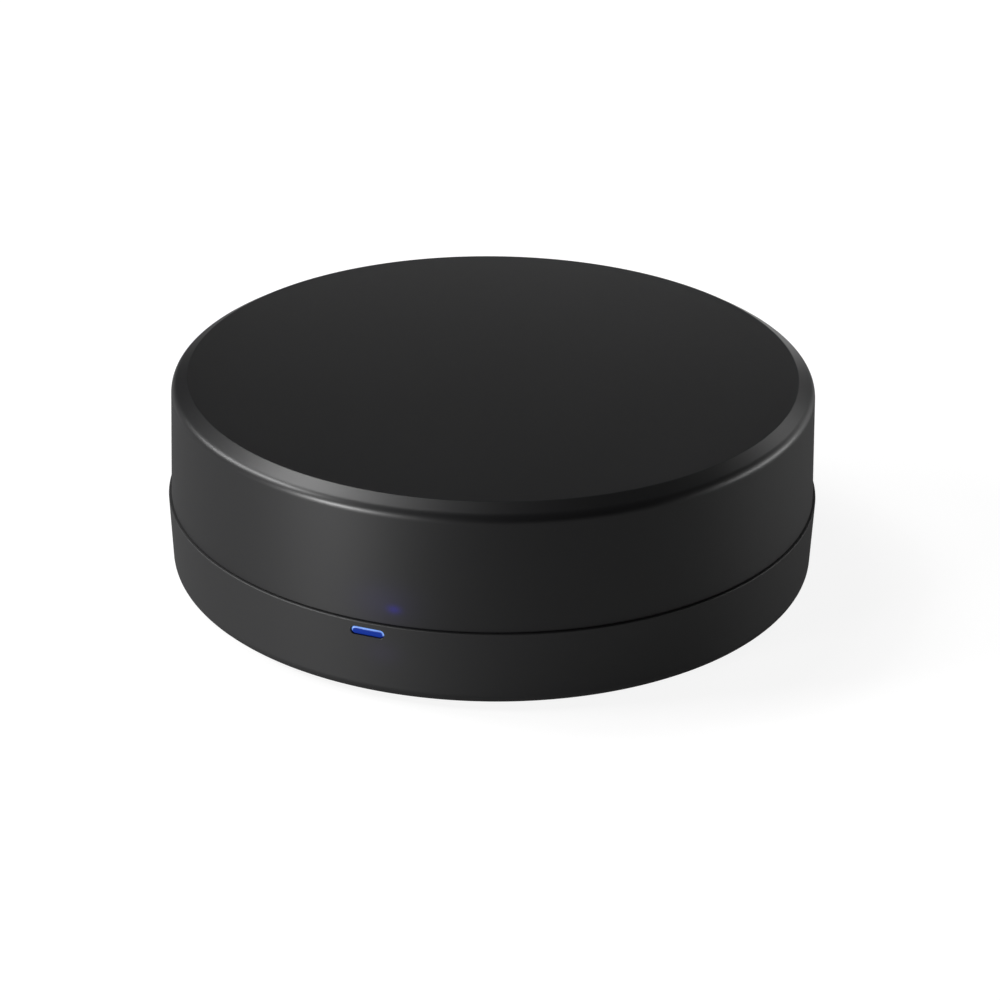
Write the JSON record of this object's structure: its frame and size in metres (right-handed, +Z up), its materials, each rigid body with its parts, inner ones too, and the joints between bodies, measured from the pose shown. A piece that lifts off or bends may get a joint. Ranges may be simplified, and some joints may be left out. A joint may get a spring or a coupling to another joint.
{
  "type": "smart infrared remote hub",
  "caption": "Low round table-top infrared repeater with a chamfered infrared-clear cover, a lit indicator slot, a reset button and a USB power socket.",
  "frame": {"origin": "centre of the foot ring's underside, on the surface that the hub stands on", "axes": "+Z up along the round case's axis; -Y towards the indicator slot; +Y towards the USB socket; +X to the right seen from the front"},
  "size_m": [0.068, 0.068, 0.0216],
  "materials": {
    "cover_plastic": "satin black, clear to infrared light",
    "base_plastic": "satin black",
    "foot_rubber": "matte",
    "label_film": "blank silver-grey film",
    "light_pipe_clear": "clear pipe lit blue",
    "screw_steel": "zinc plated",
    "button_plastic": "fine matte black",
    "board_green": "solder mask",
    "solder": "bright solder",
    "emitter_clear": "clear epoxy with a blue tint",
    "tinned_lead": "tinned",
    "chip_black": "moulded epoxy",
    "receiver_epoxy": "infrared-clear black epoxy",
    "board_blue": "solder mask",
    "shield_steel": "tin plated sheet",
    "gold_contact": "gold flash",
    "socket_steel": "nickel plated sheet",
    "socket_insulator": "moulded",
    "plunger_plastic": "natural moulded",
    "lamp_resin": "clear resin over a white body",
    "can_aluminium": "bare drawn can",
    "ceramic_tan": "fired ceramic"
  },
  "bodies": {
    "case": {"top_cover": "cover_plastic", "base_shell": "base_plastic", "foot_ring": "foot_rubber", "rating_label": "label_film", "light_pipe": "light_pipe_clear", "case_screws": "screw_steel", "main_board": "board_green", "solder_joints": "solder", "ir_emitter_1": "emitter_clear", "ir_emitter_2": "emitter_clear", "ir_emitter_3": "emitter_clear", "ir_emitter_4": "emitter_clear", "ir_emitter_5": "emitter_clear", "ir_emitter_6": "emitter_clear", "ir_emitter_upright": "emitter_clear", "emitter_leads": "tinned_lead", "emitter_resistors": "chip_black", "ir_receiver": "receiver_epoxy", "receiver_leads": "tinned_lead", "radio_board": "board_blue", "radio_shield": "shield_steel", "radio_antenna": "gold_contact", "usb_shell": "socket_steel", "usb_insert": "socket_insulator", "usb_contacts": "gold_contact", "switch_body": "chip_black", "switch_frame": "socket_steel", "switch_pins": "tinned_lead", "status_lamp": "lamp_resin", "glow_lamp": "lamp_resin", "voltage_regulator": "chip_black", "regulator_leads": "tinned_lead", "driver_transistors": "chip_black", "transistor_leads": "tinned_lead", "capacitor_cans": "can_aluminium", "capacitor_bases": "chip_black", "ceramic_capacitors": "ceramic_tan"},
    "button": {"reset_button": "button_plastic"},
    "plunger": {"switch_plunger": "plunger_plastic"}
  },
  "joints": [
    {"name": "reset_press", "type": "slide", "parent": "case", "child": "button", "axis": [-0.3746, -0.9272, 0], "range_m": [0, 0.0003], "stiffness_N_per_m": 5000},
    {"name": "plunger_press", "type": "slide", "parent": "case", "child": "plunger", "axis": [-0.3746, -0.9272, 0], "range_m": [0, 0.0003]}
  ],
  "couplings": [
    {"joint": "plunger_press", "follows": "reset_press", "ratio": 1}
  ]
}
